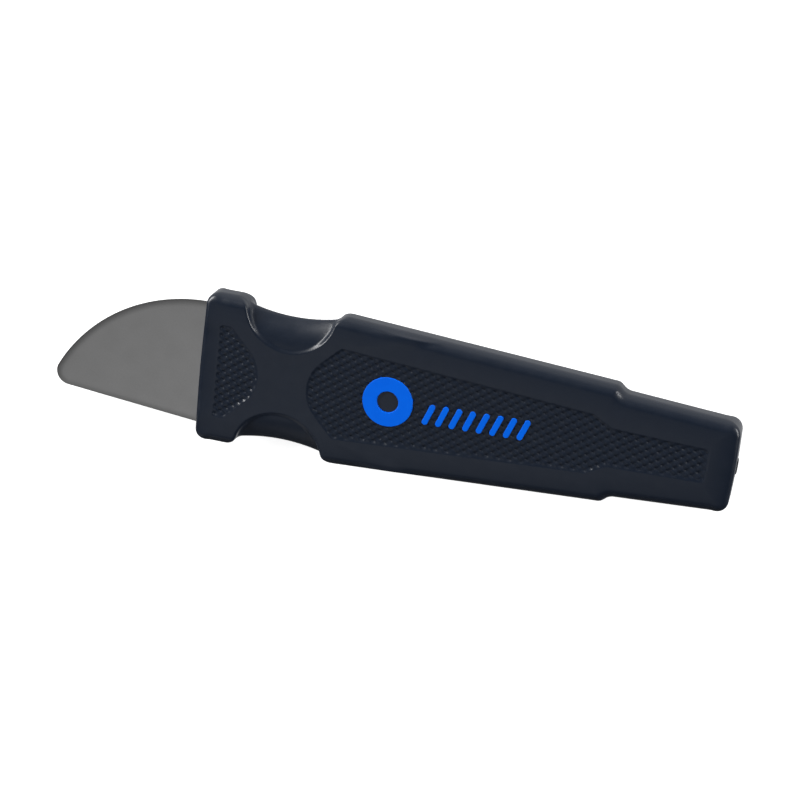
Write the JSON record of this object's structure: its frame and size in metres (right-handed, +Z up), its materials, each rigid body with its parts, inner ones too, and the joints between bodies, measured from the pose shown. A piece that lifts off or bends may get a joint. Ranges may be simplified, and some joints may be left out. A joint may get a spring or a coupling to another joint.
{
  "type": "spudger tool",
  "caption": "Flat opening tool: a thin flexible steel blade with one curved and one straight edge, in a stepped soft-grip handle with thumb scallops and textured panels.",
  "frame": {"origin": "middle of the bounding box's footprint, on the surface that the tool lies on", "axes": "+X along the handle from the blade to the butt, +Y across the blade towards its curved edge, +Z up out of the face with the blue inlays"},
  "size_m": [0.1471, 0.0334, 0.0074],
  "materials": {
    "grip_rubber": "satin",
    "blade_steel": "satin",
    "core_plastic": "matte",
    "mark_blue": "matte"
  },
  "bodies": {
    "root": {"grip_sleeve": "grip_rubber", "blade": "blade_steel", "handle_core": "core_plastic", "badge_ring": "mark_blue", "mark_bar_1": "mark_blue", "mark_bar_2": "mark_blue", "mark_bar_3": "mark_blue", "mark_bar_4": "mark_blue", "mark_bar_5": "mark_blue", "mark_bar_6": "mark_blue", "mark_bar_7": "mark_blue", "mark_bar_8": "mark_blue"}
  },
  "joints": []
}
